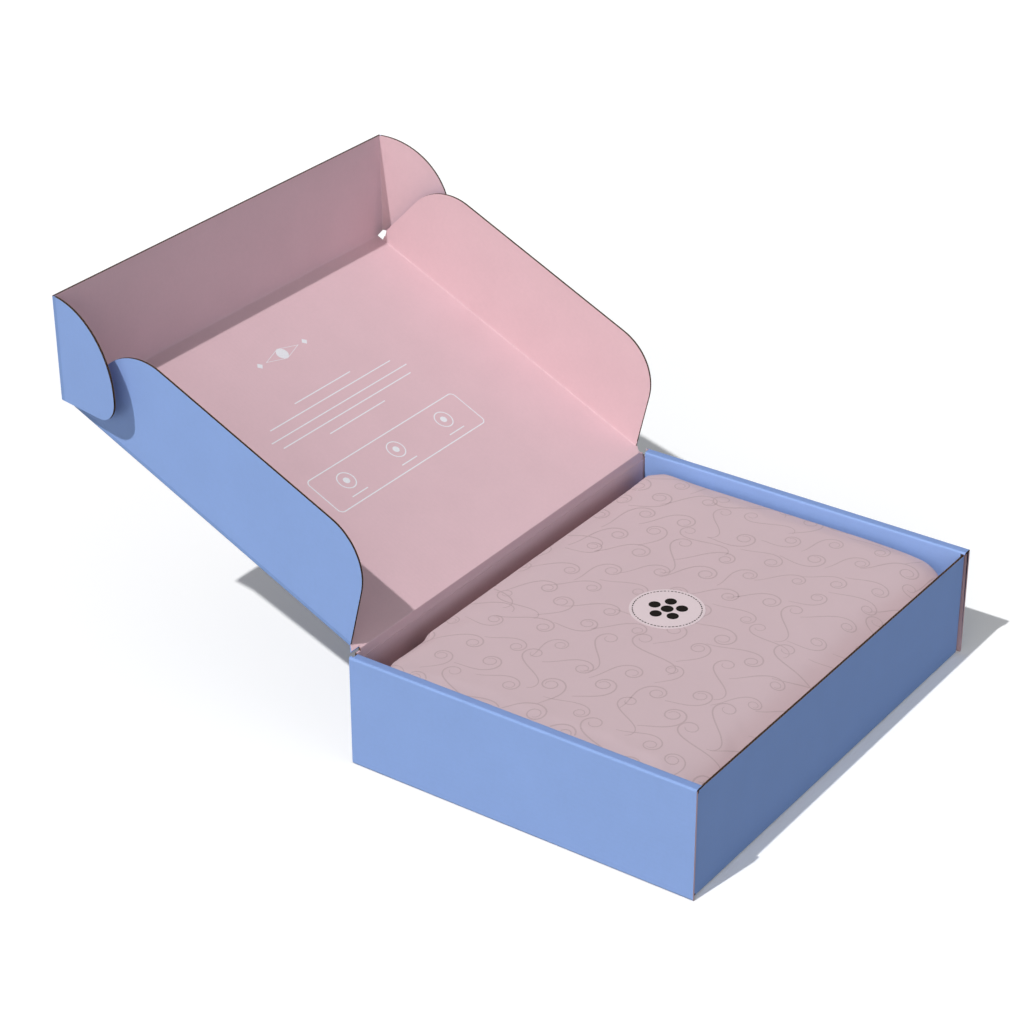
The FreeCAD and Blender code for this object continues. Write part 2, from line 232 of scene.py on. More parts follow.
def build_paper_grain():
    group, start, end = start_group(
        "paper_grain",
        [("Position", "NodeSocketVector"), ("Across flutes", "NodeSocketFloat"),
         ("Colour", "NodeSocketColor"), ("Unevenness", "NodeSocketFloat"),
         ("Washboard", "NodeSocketFloat"), ("Roughness", "NodeSocketFloat")],
        [("Colour", "NodeSocketColor"), ("Roughness", "NodeSocketFloat"), ("Height", "NodeSocketFloat")],
    )
    cloud = noise_node(group, start.outputs["Position"], CLOUD_SCALE, 3.0)
    speck = noise_node(group, start.outputs["Position"], SPECK_SCALE, 3.0, 0.6)
    fibre = noise_node(group, start.outputs["Position"], FIBRE_SCALE, 2.0, 0.7)
    both = math_node(group, "ADD", cloud, speck)
    centred = math_node(group, "SUBTRACT", both, 1.0)
    swing = math_node(group, "MULTIPLY", centred, start.outputs["Unevenness"])
    shade = math_node(group, "ADD", swing, 1.0)
    grey = group.nodes.new("ShaderNodeCombineColor")
    for socket in grey.inputs:
        group.links.new(shade, socket)
    colour = mix_colour(group, 1.0, start.outputs["Colour"], grey.outputs[0], "MULTIPLY")
    group.links.new(colour, end.inputs["Colour"])
    rough_swing = math_node(group, "MULTIPLY", math_node(group, "SUBTRACT", speck, 0.5), 0.3)
    rough = math_node(group, "ADD", rough_swing, start.outputs["Roughness"])
    group.links.new(rough, end.inputs["Roughness"])
    phase = math_node(group, "MULTIPLY", start.outputs["Across flutes"], 2 * math.pi / FLUTE_PITCH)
    wave = math_node(group, "MULTIPLY", math_node(group, "SINE", phase), start.outputs["Washboard"])
    grain = math_node(group, "ADD", speck, math_node(group, "MULTIPLY", fibre, 0.6))
    height = math_node(group, "ADD", grain, wave)
    group.links.new(height, end.inputs["Height"])
    return group


paper_grain = build_paper_grain()
print("node group", paper_grain.name, "with", len(paper_grain.nodes), "nodes")

# %% [markdown]
# ### The cut edge
#
# Where the sheet is cut you look into it: two liners, and between them a wavy sheet, the medium,
# with hollows on both sides, painted near-black as the shade inside them. The edge's UV map holds
# the distance across the flutes and the depth through the board, so the same sum draws a wave at an
# end cut across the flutes and a straight line at a side cut along them, as real board shows.

# %% Build the cut edge group
LINER = 0.2 * MM
MEDIUM = 0.16 * MM


def build_flute_edge():
    group, start, end = start_group(
        "flute_edge",
        [("Across flutes", "NodeSocketFloat"), ("Depth", "NodeSocketFloat"),
         ("Paper", "NodeSocketColor"), ("Hollow", "NodeSocketColor")],
        [("Colour", "NodeSocketColor"), ("Height", "NodeSocketFloat")],
    )
    phase = math_node(group, "MULTIPLY", start.outputs["Across flutes"], 2 * math.pi / FLUTE_PITCH)
    swing = HALF_BOARD - LINER - MEDIUM / 2
    wave = math_node(group, "MULTIPLY", math_node(group, "SINE", phase), swing)
    off_wave = math_node(group, "ABSOLUTE", math_node(group, "SUBTRACT", start.outputs["Depth"], wave))
    medium = remap(group, off_wave, MEDIUM * 0.7, MEDIUM * 1.2, 1.0, 0.0)
    off_middle = math_node(group, "ABSOLUTE", start.outputs["Depth"])
    liner = remap(group, off_middle, HALF_BOARD - LINER * 1.15, HALF_BOARD - LINER * 0.85, 0.0, 1.0)
    paper = math_node(group, "MAXIMUM", medium, liner)
    # painted shade: the hollows between the liners and the medium take a near-black colour
    colour = mix_colour(group, paper, start.outputs["Hollow"], start.outputs["Paper"])
    group.links.new(colour, end.inputs["Colour"])
    group.links.new(paper, end.inputs["Height"])
    return group


flute_edge = build_flute_edge()
print("node group", flute_edge.name, "with", len(flute_edge.nodes), "nodes")

# %% [markdown]
# ### The finishes
#
# Each finish is one material with its own numbers: the two printed sides of the board, a darker
# blue on the outside of folds, painted shade that dims the highlight a rounded fold catches, a
# darker blue on the rolled wall tops, also painted shade, the bare cut edge, the tissue, and the
# inks. The shader itself stays in the material, because the export reads its plain sockets.

# %% Make the printed paper materials
def start_material(name):
    material = bpy.data.materials.new(name)
    material.use_nodes = True
    shader = material.node_tree.nodes["Principled BSDF"]
    return material, material.node_tree, shader


def add_bump(tree, shader, height, distance):
    bump = tree.nodes.new("ShaderNodeBump")
    bump.inputs["Distance"].default_value = distance
    bump.inputs["Strength"].default_value = 1.0
    tree.links.new(height, bump.inputs["Height"])
    tree.links.new(bump.outputs["Normal"], shader.inputs["Normal"])


def paper_material(name, colour, unevenness=0.08, washboard=0.25, roughness=0.6, grain=0.03 * MM):
    """Printed paper with grain. The height of the grain is in metres."""
    material, tree, shader = start_material(name)
    place = tree.nodes.new("ShaderNodeTexCoord")
    across = tree.nodes.new("ShaderNodeSeparateXYZ")
    tree.links.new(place.outputs["UV"], across.inputs[0])
    group = tree.nodes.new("ShaderNodeGroup")
    group.node_tree = paper_grain
    tree.links.new(place.outputs["Object"], group.inputs["Position"])
    tree.links.new(across.outputs["X"], group.inputs["Across flutes"])
    group.inputs["Colour"].default_value = (*colour, 1)
    group.inputs["Unevenness"].default_value = unevenness
    group.inputs["Washboard"].default_value = washboard
    group.inputs["Roughness"].default_value = roughness
    tree.links.new(group.outputs["Colour"], shader.inputs["Base Color"])
    tree.links.new(group.outputs["Roughness"], shader.inputs["Roughness"])
    add_bump(tree, shader, group.outputs["Height"], grain)
    shader.inputs["Specular IOR Level"].default_value = 0.35
    return material


BLUE = (0.255, 0.386, 0.722)
# painted shade: the fold blue is darker than the board's blue, to dim the highlight that the rounded outside
# of a fold catches
SHADED_FOLD_BLUE = (0.215, 0.335, 0.635)
# painted shade: the rolled wall tops take a darker blue than the outer wall, which the key light would
# otherwise leave brighter
SHADED_ROLL_BLUE = (0.188, 0.288, 0.565)
PINK = (0.655, 0.45, 0.485)
blue_side = paper_material("blue_side", BLUE)
blue_fold_shaded = paper_material("blue_fold_shaded", SHADED_FOLD_BLUE, washboard=0.0, roughness=0.5)
blue_roll_shaded = paper_material("blue_roll_shaded", SHADED_ROLL_BLUE, washboard=0.0)
pink_side = paper_material("pink_side", PINK)
pink_fold = paper_material("pink_fold", PINK, washboard=0.0)
print("printed board:", blue_side.name, blue_fold_shaded.name, blue_roll_shaded.name, pink_side.name, pink_fold.name)

# %% Make the cut edge material
KRAFT = (0.17, 0.095, 0.055)
# painted shade: the near-black of the shade inside the flute hollows
HOLLOW_SHADE = (0.014, 0.008, 0.006)


def edge_material():
    material, tree, shader = start_material("cut_edge")
    place = tree.nodes.new("ShaderNodeTexCoord")
    split = tree.nodes.new("ShaderNodeSeparateXYZ")
    tree.links.new(place.outputs["UV"], split.inputs[0])
    group = tree.nodes.new("ShaderNodeGroup")
    group.node_tree = flute_edge
    tree.links.new(split.outputs["X"], group.inputs["Across flutes"])
    tree.links.new(split.outputs["Y"], group.inputs["Depth"])
    group.inputs["Paper"].default_value = (*KRAFT, 1)
    group.inputs["Hollow"].default_value = (*HOLLOW_SHADE, 1)
    fibre = noise_node(tree, place.outputs["Object"], FIBRE_SCALE)
    shade = remap(tree, fibre, 0.3, 0.7, 0.75, 1.15)
    grey = tree.nodes.new("ShaderNodeCombineColor")
    for socket in grey.inputs:
        tree.links.new(shade, socket)
    colour = mix_colour(tree, 1.0, group.outputs["Colour"], grey.outputs[0], "MULTIPLY")
    tree.links.new(colour, shader.inputs["Base Color"])
    add_bump(tree, shader, group.outputs["Height"], 0.3 * MM)
    shader.inputs["Roughness"].default_value = 0.9
    shader.inputs["Specular IOR Level"].default_value = 0.2
    return material


print("material made:", edge_material().name)

# %% [markdown]
# ## Dress the board
#
# The CAD panels already have the right shape, so each is copied, not modelled again. The copy's
# loose triangles are merged, then every face is told what it is: pink side, blue side, a cut edge,
# the outside of a fold, or the top of a rolled wall. The UV map is written at the same time, in
# metres: U runs across the flutes and V through the thickness.

# %% Copy a CAD node as a clean mesh
FACE_FINISHES = ("blue_side", "pink_side", "cut_edge", "blue_fold_shaded", "blue_roll_shaded")
BLUE_FACE, PINK_FACE, CUT_FACE, SHADED_FOLD_FACE, SHADED_ROLL_FACE = range(len(FACE_FINISHES))
# a face counts as flat on a direction when its normal lies this close to it
FLAT = 0.999
FOLD_DEPTH = 1.2 * MM


def copy_of_node(node):
    """A bmesh of a CAD node, with its loose triangles joined and its flat faces made whole."""
    shape = bmesh.new()
    shape.from_mesh(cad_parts[node].data)
    bmesh.ops.remove_doubles(shape, verts=shape.verts, dist=0.002 * MM)
    bmesh.ops.dissolve_limit(shape, angle_limit=math.radians(0.3), verts=shape.verts, edges=shape.edges)
    return shape


def finish_board(shape, name, node, body):
    """Turn the dressed copy into an object that stands for the CAD node."""
    mark_sharp(shape, 35)
    piece = new_piece(name, shape, *[bpy.data.materials[finish] for finish in FACE_FINISHES])
    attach(piece, body)
    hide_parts(node)
    kinds = [face.material_index for face in piece.data.polygons]
    print(name, "faces:", {finish: kinds.count(index) for index, finish in enumerate(FACE_FINISHES)})


# %% [markdown]
# A flat panel is simple: the faces that look along its pink direction are the printed sides, and
# the rest are cut, except beside a crease, where the outer paper carries on round the fold.

# %% Dress the lid, its flaps and the ears
def dress_panel(name, node, body, panel, flute_way, on_fold):
    """Sort a flat panel's faces. The height is measured from the middle of the board."""
    shape = copy_of_node(node)
    uv = shape.loops.layers.uv.new("board")
    for face in shape.faces:
        facing = face.normal.dot(panel.pink)
        middle = face.calc_center_median() - panel.origin
        face.smooth = abs(facing) < FLAT
        if facing > FLAT:
            face.material_index = PINK_FACE
        elif facing < -FLAT:
            face.material_index = BLUE_FACE
        elif on_fold(middle.dot(panel.across), middle.dot(panel.along)):
            face.material_index = BLUE_FACE if facing < 0.5 else PINK_FACE
        else:
            face.material_index = CUT_FACE
        for loop in face.loops:
            place = loop.vert.co - panel.origin
            loop[uv].uv = (place.dot(flute_way), place.dot(panel.pink))
    finish_board(shape, name, node, body)


def lid_fold(across, along):
    beside_flap = abs(across) > SIDE_CREASE - 0.2 * MM and along < LID_LENGTH - SIDE_CREASE_END
    return beside_flap or along > LID_LENGTH - 0.1 * MM or along < BOARD


def flap_fold(across, along):
    return along < FOLD_DEPTH or abs(across) > EAR_CREASE - 0.1 * MM


def crease_root(across, along):
    return across < FOLD_DEPTH


dress_panel("lid_board", "lid_panel", "lid", lid, lid.across, lid_fold)
dress_panel("front_flap_board", "front_flap", "front_flap", front_flap,
            front_flap.across, flap_fold)
ears = {}
for side, sign in SIDES.items():
    outward = Vector((sign, 0, 0))
    crease = on_panel(lid, sign * (SIDE_CREASE + HALF_BOARD), 0, HALF_BOARD)
    dress_panel(f"side_flap_{side}_board", f"side_flap_{side}", f"side_flap_{side}",
                Panel(crease, lid.pink, lid.along, -outward), lid.pink, crease_root)
    splay = math.radians(EAR_SPLAY)
    reach = outward * math.sin(splay) + front_flap.pink * math.cos(splay)
    ear_pink = front_flap.pink * math.sin(splay) - outward * math.cos(splay)
    ears[side] = Panel(on_panel(front_flap, sign * EAR_CREASE, 0, 0), reach, front_flap.along, ear_pink)
    dress_panel(f"ear_{side}_board", f"ear_{side}", f"ear_{side}",
                ears[side], reach, crease_root)

# %% [markdown]
# The tray is one solid made of many panels, so its faces are sorted by where they lie. It is first
# sliced along the inner faces of its walls, so that no cut face spans two panels. A curved face is
# the blue outside of a fold, save behind the parcel, where the back wall bends with its pink side in.

# %% Dress the tray
ROLL_UNDER = 74.7 * MM
OUTER_PANEL_IN = 163.5 * MM
DUST_FLAP_OUT = 161.5 * MM
DUST_FLAP_IN = 160.0 * MM
INNER_PANEL_OUT = 159.85 * MM
INNER_PANEL_IN = 158.35 * MM
FRONT_WALL_IN = -119.0 * MM
BACK_WALL_IN = 120.5 * MM
NEAR = 0.06 * MM


def near(value, *targets):
    return any(abs(value - target) < NEAR for target in targets)


def slice_tray(shape):
    """Cuts along the planes where one panel's edge meets the next."""
    for level in (BOARD, ROLL_UNDER):
        geometry = shape.verts[:] + shape.edges[:] + shape.faces[:]
        bmesh.ops.bisect_plane(shape, geom=geometry, plane_co=(0, 0, level), plane_no=(0, 0, 1))
    for distance in (OUTER_PANEL_IN, INNER_PANEL_OUT, DUST_FLAP_IN, DUST_FLAP_OUT):
        for sign in SIDES.values():
            geometry = shape.verts[:] + shape.edges[:] + shape.faces[:]
            bmesh.ops.bisect_plane(shape, geom=geometry, plane_co=(sign * distance, 0, 0),
                                   plane_no=(1, 0, 0))


def tray_finish(normal, middle):
    """What a face of the tray is, from its direction and its place."""
    x, y, z = abs(middle.x), middle.y, middle.z
    steepest = max(abs(part) for part in normal)
    if steepest < FLAT:
        if y > BACK_WALL_IN and normal.y < 0:
            return PINK_FACE
        # painted shade: curved faces that look up take the darker roll blue, and the rest of a fold takes
        # the darker fold blue
        return SHADED_ROLL_FACE if normal.z > 0.85 else SHADED_FOLD_FACE if steepest < 0.85 else BLUE_FACE
    if abs(normal.x) > FLAT:
        outward = normal.x * middle.x > 0
        if outward:
            blue = near(x, HALF_WIDTH, DUST_FLAP_OUT)
            return BLUE_FACE if blue else PINK_FACE if near(x, INNER_PANEL_OUT) else CUT_FACE
        blue = near(x, INNER_PANEL_IN)
        return BLUE_FACE if blue else PINK_FACE if near(x, OUTER_PANEL_IN, DUST_FLAP_IN) else CUT_FACE
    if abs(normal.z) > FLAT:
        if y > BACK_WALL_IN and x < INNER_PANEL_IN and z > BOARD:
            return PINK_FACE
        if normal.z > 0:
            top = near(z, ROLL_UNDER + BOARD)
            # painted shade: the flat top of a rolled wall takes the darker roll blue
            return SHADED_ROLL_FACE if top else PINK_FACE if near(z, BOARD) else CUT_FACE
        return BLUE_FACE if near(z, 0) else PINK_FACE if near(z, ROLL_UNDER) else CUT_FACE
    if x > OUTER_PANEL_IN and y < 0 and z < ROLL_UNDER:
        return PINK_FACE
    if x > OUTER_PANEL_IN or z > ROLL_UNDER and x > INNER_PANEL_IN - NEAR:
        return CUT_FACE
    if normal.y > 0:
        pink = near(y, FRONT_WALL_IN)
        return PINK_FACE if pink else BLUE_FACE if near(y, HALF_DEPTH, HALF_DEPTH + HALF_BOARD) else CUT_FACE
    pink = near(y, BACK_WALL_IN, BACK_WALL_IN + HALF_BOARD)
    return PINK_FACE if pink else BLUE_FACE if near(y, FRONT_WALL_IN - BOARD) else CUT_FACE


def tray_uv(middle, place):
    """Distance across the flutes, and depth through the board, for a point of the tray."""
    x, y, z = abs(middle.x), middle.y, middle.z
    if z > ROLL_UNDER and x > INNER_PANEL_IN:
        return place.x, place.z - ROLL_UNDER - HALF_BOARD
    if z < BOARD:
        return place.x, place.z - HALF_BOARD
    if x > OUTER_PANEL_IN:
        return place.z, abs(place.x) - OUTER_PANEL_IN - HALF_BOARD
    if x > DUST_FLAP_IN:
        return place.y, abs(place.x) - DUST_FLAP_IN - HALF_BOARD
    if x > INNER_PANEL_IN - NEAR:
        return place.z, abs(place.x) - INNER_PANEL_IN - HALF_BOARD
    if y < 0:
        return place.x, place.y - FRONT_WALL_IN + HALF_BOARD
    return place.x, place.y - BACK_WALL_IN - HALF_BOARD


def dress_tray():
    shape = copy_of_node("tray")
    slice_tray(shape)
    uv = shape.loops.layers.uv.new("board")
    for face in shape.faces:
        middle = face.calc_center_median()
        face.material_index = tray_finish(face.normal, middle)
        face.smooth = max(abs(part) for part in face.normal) < FLAT
        for loop in face.loops:
            loop[uv].uv = tray_uv(middle, loop.vert.co)
    finish_board(shape, "tray_board", "tray", "tray")


dress_tray()

# %% [markdown]
# ## The creases
#
# A crease is the same paper carried from one panel to the next, bent over a scored line. The CAD
# panels stop just short of each other, so a thin skin covers each joint, inside and out. Its
# outline is three points with the middle one rounded, drawn out along the crease.

# %% Make a crease skin
SKIN = 0.12 * MM
SKIN_LIFT = 0.04 * MM


def crease_skin(name, corner, along, reach, ways, normals, legs, rounding, material):
    """A thin skin over a fold.

    corner is where the two panels' faces would meet, along the crease's direction and reach its
    two ends. ways lead from the corner out over each panel, legs says how far, and normals are the
    directions the two faces look in.
    """
    lift = (normals[0] + normals[1]) * SKIN_LIFT / (1 + normals[0].dot(normals[1]))
    start = corner + along * reach[0]
    shape = bmesh.new()
    tips = [start + way * leg + normal * SKIN_LIFT for way, leg, normal in zip(ways, legs, normals)]
    first, middle, last = [shape.verts.new(point) for point in (tips[0], start + lift, tips[1])]
    shape.edges.new((first, middle))
    shape.edges.new((middle, last))
    bmesh.ops.bevel(shape, geom=[middle], affect="VERTICES", offset=rounding, offset_type="OFFSET",
                    segments=8, profile=0.5, material=-1)
    drawn = bmesh.ops.extrude_edge_only(shape, edges=shape.edges[:])
    moved = [part for part in drawn["geom"] if isinstance(part, bmesh.types.BMVert)]
    bmesh.ops.translate(shape, verts=moved, vec=along * (reach[1] - reach[0]))
    bmesh.ops.recalc_face_normals(shape, faces=shape.faces[:])
    outside = normals[0] + normals[1]
    if sum(face.normal.dot(outside) * face.calc_area() for face in shape.faces) < 0:
        bmesh.ops.reverse_faces(shape, faces=shape.faces[:])
    piece = new_piece(name, shape, material)
    thicken(piece, SKIN)
    piece.data.set_sharp_from_angle(angle=math.radians(40))
    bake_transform(piece)
    print("crease", name, "with", len(piece.data.polygons), "faces")


# %% [markdown]
# Inside a fold the two pink faces meet in a hollow, and outside the blue ones meet in a ridge,
# or the other way round at the hinge of a lid that leans back.

# %% Cover the hinge between the tray and the lid
UP = Vector((0, 0, 1))
LEG = 3.5 * MM
HINGE_REACH = (-154.4 * MM, 154.4 * MM)
wall_out = Vector((0, 1, 0))
wall_pink_y = HALF_DEPTH - HALF_BOARD
wall_blue_y = HALF_DEPTH + HALF_BOARD


def lid_meets_wall(wall_y, height):
    """Where a face of the lid, at a height from its middle, crosses the wall's face."""
    run = (wall_y - lid.origin.y - lid.pink.y * height) / lid.along.y
    return on_panel(lid, 0, run, height)


crease_skin("hinge_crease_pink", lid_meets_wall(wall_pink_y, HALF_BOARD),
            lid.across, HINGE_REACH, (-UP, lid.along), (-wall_out, lid.pink), (LEG, LEG), 0.35 * MM,
            pink_fold)
# painted shade: the blue skins over the folds, here and below, take the darker fold blue
crease_skin("hinge_crease_blue", lid_meets_wall(wall_blue_y, -HALF_BOARD),
            lid.across, HINGE_REACH, (-UP, lid.along), (wall_out, -lid.pink), (LEG, LEG), 0.5 * MM,
            blue_fold_shaded)

# %% Cover the creases between the lid and its three flaps
SIDE_REACH = (SIDE_CREASE_END, LID_LENGTH - SIDE_CREASE_END)
for side, sign in SIDES.items():
    outward = Vector((sign, 0, 0))
    crease_skin(f"side_crease_{side}_pink",
                on_panel(lid, sign * SIDE_CREASE, 0, HALF_BOARD), lid.along, SIDE_REACH,
                (-outward, lid.pink), (lid.pink, -outward), (LEG, LEG), 0.7 * MM, pink_fold)
    crease_skin(f"side_crease_{side}_blue",
                on_panel(lid, sign * (SIDE_CREASE + BOARD), 0, -HALF_BOARD), lid.along, SIDE_REACH,
                (-outward, lid.pink), (-lid.pink, outward), (LEG, LEG), 1.45 * MM, blue_fold_shaded)

flap_gain = HALF_BOARD * math.tan(math.radians(FLAP_TURN / 2))
FLAP_REACH = (-156.4 * MM, 156.4 * MM)
crease_skin("front_crease_pink",
            on_panel(lid, 0, LID_LENGTH - flap_gain, HALF_BOARD), lid.across, FLAP_REACH,
            (-lid.along, front_flap.along), (lid.pink, front_flap.pink), (LEG, LEG), 0.8 * MM,
            pink_fold)
crease_skin("front_crease_blue",
            on_panel(lid, 0, LID_LENGTH + flap_gain, -HALF_BOARD), lid.across, FLAP_REACH,
            (-lid.along, front_flap.along), (-lid.pink, -front_flap.pink), (LEG, LEG), 0.95 * MM,
            blue_fold_shaded)

# %% Cover the creases between the front flap and its ears
EAR_REACH = (3.4 * MM, 72.9 * MM)
ear_gain = HALF_BOARD * math.tan(math.radians((90 - EAR_SPLAY) / 2))
for side, sign in SIDES.items():
    outward = Vector((sign, 0, 0))
    ear = ears[side]
    crease_skin(f"ear_crease_{side}_pink",
                on_panel(front_flap, sign * (EAR_CREASE - ear_gain), 0, HALF_BOARD),
                front_flap.along, EAR_REACH, (-outward, ear.across), (front_flap.pink, ear.pink),
                (LEG, LEG), 0.6 * MM, pink_fold)
    crease_skin(f"ear_crease_{side}_blue",
                on_panel(front_flap, sign * (EAR_CREASE + ear_gain), 0, -HALF_BOARD),
                front_flap.along, EAR_REACH, (-outward, ear.across), (-front_flap.pink, -ear.pink),
                (LEG, LEG), 1.0 * MM, blue_fold_shaded)

# %% [markdown]
# ## The print on the lid
#
# White ink sits on the pink as a film you can't feel. It is drawn as thin flat shapes just above
# the board: a small ornament, a block of plain rules, and a framed row of rings. Rings and the
# frame are one filled outline, inset once, with the middle taken out.

# %% Draw flat shapes on a panel
PRINT_LIFT = 0.03 * MM
PRINT_DEPTH = 0.03 * MM


def add_outline(shape, width, height, corner):
    """A filled rectangle round the origin, with rounded corners. Returns its face."""
    corners = [(x * width / 2, y * height / 2, 0) for x, y in ((-1, -1), (1, -1), (1, 1), (-1, 1))]
    points = [shape.verts.new(point) for point in corners]
    face = shape.faces.new(points)
    if corner > 0:
        bmesh.ops.bevel(shape, geom=points, affect="VERTICES", offset=corner, offset_type="OFFSET",
                        segments=10, profile=0.5, material=-1)
        shape.faces.ensure_lookup_table()
        face = shape.faces[-1]
    return face


def hollow_out(shape, face, line):
    """Leave only a line of this width along the face's border."""
    bmesh.ops.inset_region(shape, faces=[face], thickness=line, use_even_offset=True, use_boundary=True)
    bmesh.ops.delete(shape, geom=[face], context="FACES")


def flat_mark(width, height, corner=0.0, line=None, turn=0.0, sides=None):
    """One mark of the print as a mesh: a bar, a frame, a disc or a ring, lying at the origin."""
    shape = bmesh.new()
    if sides:
        bmesh.ops.create_circle(shape, cap_ends=True, segments=sides, radius=width / 2)
        face = shape.faces[:][0]
    else:
        face = add_outline(shape, width, height, corner)
    if line:
        hollow_out(shape, face, line)
    bmesh.ops.rotate(shape, verts=shape.verts, cent=(0, 0, 0),
                     matrix=Matrix.Rotation(math.radians(turn), 3, "Z"))
    if sides:
        bmesh.ops.scale(shape, verts=shape.verts, vec=(1, height / width, 1))
    mesh = bpy.data.meshes.new("mark")
    shape.to_mesh(mesh)
    shape.free()
    return mesh


def stamp(sheet, mark, x, y):
    """Add a mark to a sheet of marks at a place, and forget the mark's own mesh."""
    already = len(sheet.verts)
    sheet.from_mesh(mark)
    sheet.verts.ensure_lookup_table()
    bmesh.ops.translate(sheet, verts=sheet.verts[already:], vec=(x, y, 0))
    bpy.data.meshes.remove(mark)


def face_up(sheet):
    """Turn every face of a level sheet to look up."""
    for face in sheet.faces:
        face.normal_update()
        if face.normal.z < 0:
            face.normal_flip()


print("print tools ready")

# %% Print the lid
LINE = 0.8 * MM
ORNAMENT_PLACE = 200 * MM
# each rule's place up the lid and its length, in millimetres
RULES = ((163.5, 58), (155.5, 126), (147.0, 142), (140.0, 134), (132.0, 58))
RING_PLACES = (-52, 0, 52)
FRAME_MIDDLE = 96.0


def ink_material(name, colour, roughness):
    material, tree, shader = start_material(name)
    place = tree.nodes.new("ShaderNodeTexCoord")
    speck = noise_node(tree, place.outputs["Object"], FIBRE_SCALE)
    shade = remap(tree, speck, 0.3, 0.7, 0.93, 1.03)
    grey = tree.nodes.new("ShaderNodeCombineColor")
    for socket in grey.inputs:
        tree.links.new(shade, socket)
    mixed = mix_colour(tree, 1.0, (*colour, 1), grey.outputs[0], "MULTIPLY")
    tree.links.new(mixed, shader.inputs["Base Color"])
    add_bump(tree, shader, speck, 0.01 * MM)
    shader.inputs["Roughness"].default_value = roughness
    return material


WHITE_INK = (0.76, 0.76, 0.79)
white_ink = ink_material("white_ink", WHITE_INK, 0.6)


def print_lid():
    sheet = bmesh.new()
    stamp(sheet, flat_mark(34 * MM, 10 * MM, line=0.9 * MM, sides=4), 0, ORNAMENT_PLACE)
    stamp(sheet, flat_mark(9 * MM, 9 * MM, sides=24), 0, ORNAMENT_PLACE)
    for sign in SIDES.values():
        stamp(sheet, flat_mark(5 * MM, 5 * MM, sides=4), sign * 23 * MM, ORNAMENT_PLACE)
    for along, width in RULES:
        stamp(sheet, flat_mark(width * MM, LINE, 0.3 * MM), 0, along * MM)
    stamp(sheet, flat_mark(156 * MM, 32 * MM, 4 * MM, line=LINE), 0, FRAME_MIDDLE * MM)
    for place in RING_PLACES:
        stamp(sheet, flat_mark(14 * MM, 14 * MM, line=LINE, sides=40), place * MM, (FRAME_MIDDLE + 2) * MM)
        stamp(sheet, flat_mark(5 * MM, 5 * MM, sides=24), place * MM, (FRAME_MIDDLE + 2) * MM)
        stamp(sheet, flat_mark(16 * MM, LINE, 0.3 * MM), place * MM, (FRAME_MIDDLE - 10) * MM)
    face_up(sheet)
    basis = Matrix((lid.across, lid.along, lid.pink)).transposed().to_4x4()
    place = Matrix.Translation(on_panel(lid, 0, 0, HALF_BOARD + PRINT_LIFT)) @ basis
    bmesh.ops.transform(sheet, matrix=place, verts=sheet.verts)
    piece = new_piece("lid_print", sheet, white_ink)
    thicken(piece, PRINT_DEPTH)
    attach(piece, "lid")
    print("lid print has", len(piece.data.polygons), "faces")


print_lid()

# %% [markdown]
# ## The parcel
#
# Folded clothes in tissue make a soft, flat pack: the top is nearly level, rounds off towards the
# front wall, and dips where the paper is tucked at a corner. The CAD solid is a block with round
# corners. A copy of it, a little smaller, is remeshed and inflated as cloth, which crowns it as
# stuffing would, and no point may travel far. Then its shoulders are filled out and its top shaped.

# %% Inflate the parcel
PARCEL_SHRINK = 0.4 * MM
VOXEL = 3.6 * MM
TRAVEL = 1.6 * MM
SETTLE_FRAMES = 20


def parcel_start():
    """The CAD block, drawn in a little and remeshed evenly."""
    shape = copy_of_node("wrapped_parcel")
    low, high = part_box("wrapped_parcel")
    centre = (low + high) / 2
    size = high - low
    shrink = [(side - 2 * PARCEL_SHRINK) / side for side in size]
    bmesh.ops.translate(shape, verts=shape.verts, vec=-centre)
    bmesh.ops.scale(shape, verts=shape.verts, vec=shrink)
    bmesh.ops.translate(shape, verts=shape.verts, vec=centre)
    piece = new_piece("tissue_parcel", shape)
    remesh = piece.modifiers.new("even", "REMESH")
    remesh.mode = "VOXEL"
    remesh.voxel_size = VOXEL
    return piece


def inflate(piece):
    """Blow the mesh up as cloth, with gravity off, and cap how far each point moves."""
    rest = [vert.co.copy() for vert in piece.data.vertices]
    cloth = piece.modifiers.new("stuffing", "CLOTH")
    cloth.settings.use_pressure = True
    cloth.settings.uniform_pressure_force = 4.0
    cloth.settings.effector_weights.gravity = 0.0
    cloth.settings.quality = 5
    for number in range(1, SETTLE_FRAMES + 1):
        bpy.context.scene.frame_set(number)
    apply_modifiers(piece)
    bpy.context.scene.frame_set(1)
    for vert, start in zip(piece.data.vertices, rest):
        travel = vert.co - start
        if travel.length > TRAVEL:
            vert.co = start + travel.normalized() * TRAVEL


parcel = parcel_start()
apply_modifiers(parcel)
print("parcel remeshed to", len(parcel.data.vertices), "points")
inflate(parcel)
print("inflated top at", round(max(vert.co.z for vert in parcel.data.vertices), 4))

# %% Press the parcel into its place
PARCEL_LOW, PARCEL_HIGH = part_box("wrapped_parcel")
TUCK_START = -108 * MM
TUCK_SOFT = 1.2 * MM
TUCK_REACH = 7 * MM
TUCK_DROP = Vector((0, -1.6 * MM, -3.2 * MM))
SLOPE_START = -45 * MM
SLOPE_LENGTH = 72 * MM
SLOPE_DROP = 8 * MM
CORNER_X = 125 * MM
CORNER_Y = -88 * MM
SHOULDER_X = 148 * MM
SHOULDER_Y = 103.5 * MM
SHOULDER_Z = 62.5 * MM
ROOM = 0.05 * MM


def fill_out(point, axes, centre):
    """Make a rounding about a centre squarer than a circle, as the clothes push into it."""
    out = [(point[axis] - middle) * math.copysign(1, middle) for axis, middle in zip(axes, centre)]
    if min(out) > 0:
        stretch = math.hypot(*out) / (out[0] ** 3 + out[1] ** 3) ** (1 / 3)
        for axis, middle in zip(axes, centre):
            point[axis] = middle + (point[axis] - middle) * stretch


